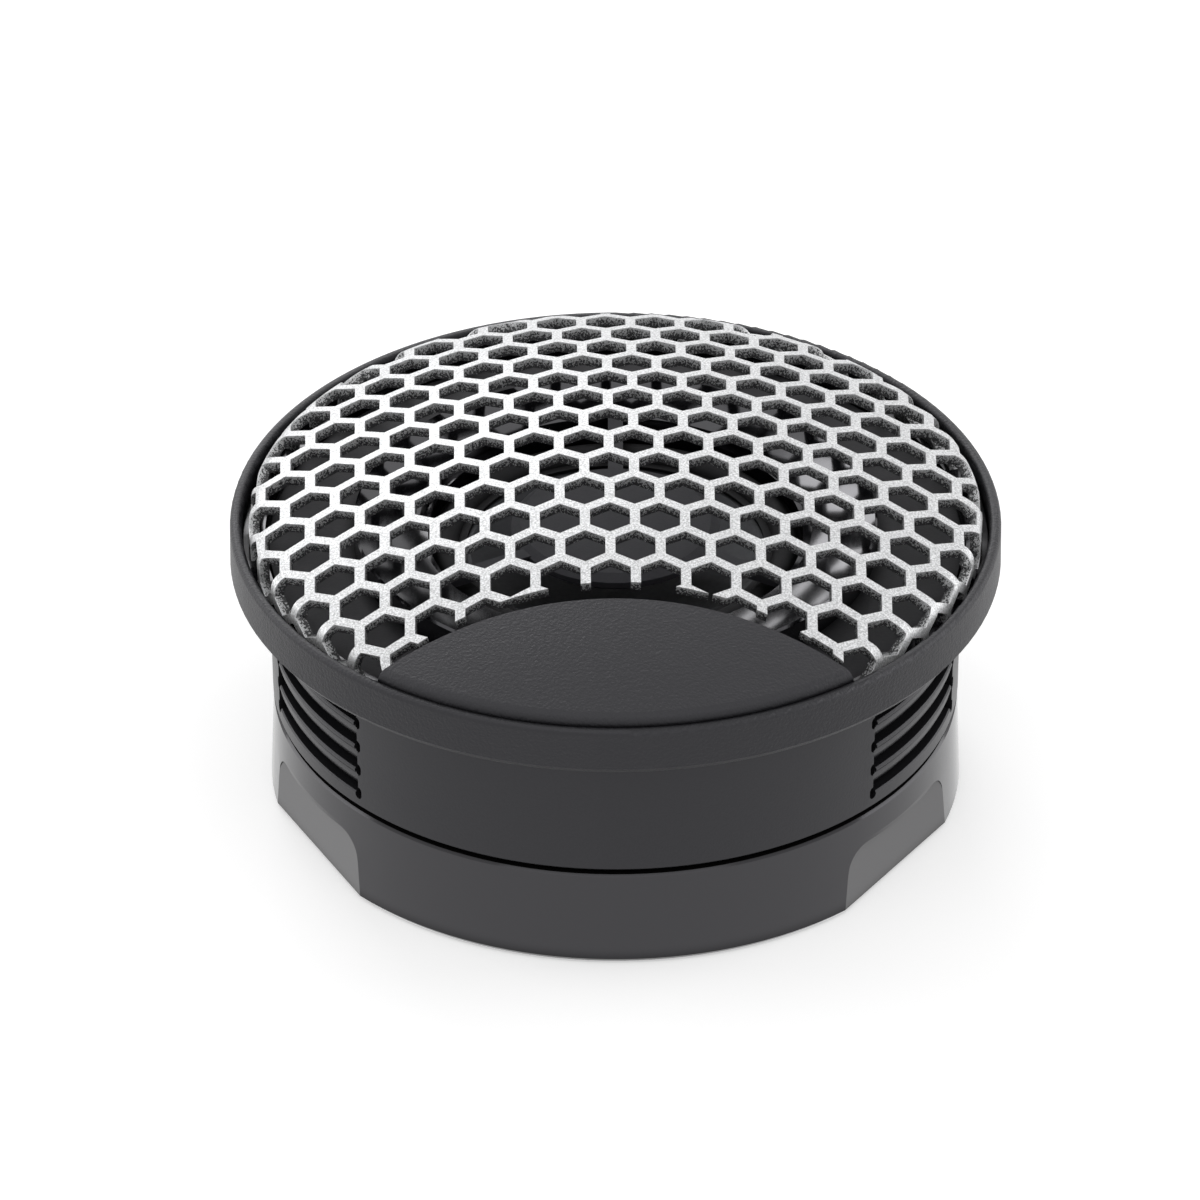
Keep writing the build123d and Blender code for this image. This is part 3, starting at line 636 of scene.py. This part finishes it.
# Drawing it: the blank lies on the dome, goes round the roll and hangs down as the skirt.
for v in bm.verts:
    reach = hypot(v.co.x, v.co.y)
    if reach <= roll_start:
        v.co.z = dome_centre_height + sqrt(dome_radius ** 2 - reach ** 2)
        continue
    along = (reach - roll_start) / cos(roll_slope)
    if along < roll_length:
        turn = pi / 2 - roll_slope - along / roll_radius
        radius = roll_centre + roll_radius * cos(turn)
        height = roll_height + roll_radius * sin(turn)
    else:
        radius = grille_radius
        height = roll_height - (along - roll_length)
    v.co = Vector((v.co.x / reach * radius, v.co.y / reach * radius, height))

# Its faces look out of the dome, and the sheet's thickness goes inwards from them.
bmesh.ops.recalc_face_normals(bm, faces=bm.faces)
if sum(f.normal.z for f in bm.faces) < 0:
    bmesh.ops.reverse_faces(bm, faces=bm.faces)
grille = as_piece("grille_sheet", bm, smooth=True)
wall = grille.modifiers.new("sheet", "SOLIDIFY")
wall.thickness = sheet_thickness
wall.offset = -1.0
wall.use_even_offset = True
wall.use_quality_normals = True
soft_edge = grille.modifiers.new("painted_edges", "BEVEL")
soft_edge.width = painted_edge
soft_edge.segments = 3
soft_edge.limit_method = "ANGLE"
soft_edge.angle_limit = painted_past
soft_edge.harden_normals = True

# The coat goes by depth under the outer face: full silver at the face, then specks of silver that
# thin out over the black primer down the holes' walls.
coat_depth = 0.00016
ragged = 0.00020
overspray = 0.0034
overspray_from = coat_depth * 0.2
overspray_full = coat_depth * 0.6
flakes_per_metre = 7500.0
flakes_middle = 0.5
flake_relief = 0.000014
glittering = (0.36, 0.64)
silver_shade = (0.48, 0.485, 0.49)
silver_glint = (0.90, 0.905, 0.915)
silver_metal = 0.45
silver_roughness = (0.36, 0.52)
black_primer = (0.038, 0.038, 0.040)
coat, nt, shader = new_finish("silver_over_primer")


def distance(nt, a, b):
    squares = figure(nt, "ADD", figure(nt, "MULTIPLY", a, a), figure(nt, "MULTIPLY", b, b))
    return figure(nt, "SQRT", squares)


axes = place_axes(nt)
reach = distance(nt, axes["X"], axes["Y"])
rise = axes["Z"]
from_dome_centre = distance(nt, reach, figure(nt, "SUBTRACT", rise, dome_centre_height))
in_dome = figure(nt, "SUBTRACT", dome_radius, from_dome_centre)
past = figure(nt, "SUBTRACT", reach, roll_centre)
above = figure(nt, "SUBTRACT", rise, roll_height)
from_roll_centre = distance(nt, figure(nt, "MAXIMUM", past, 0.0), figure(nt, "MAXIMUM", above, 0.0))
in_roll = figure(nt, "SUBTRACT", roll_radius, from_roll_centre)
over_edge = figure(nt, "GREATER_THAN", figure(nt, "MULTIPLY", past, cos(roll_slope)),
                   figure(nt, "MULTIPLY", above, sin(roll_slope)))
on_dome = figure(nt, "SUBTRACT", 1.0, over_edge)
depth = figure(nt, "ADD", figure(nt, "MULTIPLY", in_roll, over_edge),
               figure(nt, "MULTIPLY", in_dome, on_dome))

flakes = speckle(nt, flakes_per_metre, detail=2.0, roughness=0.7)
specks = figure(nt, "MULTIPLY", figure(nt, "SUBTRACT", flakes, flakes_middle), overspray)
inside = stretch(nt, depth, given=(overspray_from, overspray_full))
mist = figure(nt, "MULTIPLY", specks, inside)
bare = stretch(nt, figure(nt, "ADD", depth, mist), given=(coat_depth, coat_depth + ragged))
silver = blend(nt, stretch(nt, flakes, given=glittering), silver_shade, silver_glint)
nt.links.new(blend(nt, bare, silver, black_primer), shader.inputs["Base Color"])
nt.links.new(stretch(nt, flakes, wanted=silver_roughness), shader.inputs["Roughness"])
metal = figure(nt, "MULTIPLY", figure(nt, "SUBTRACT", 1.0, bare), silver_metal)
nt.links.new(metal, shader.inputs["Metallic"])
roughen(nt, shader, flakes, flake_relief)
grille.data.materials.append(coat)
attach(grille, "speaker")
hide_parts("grille")
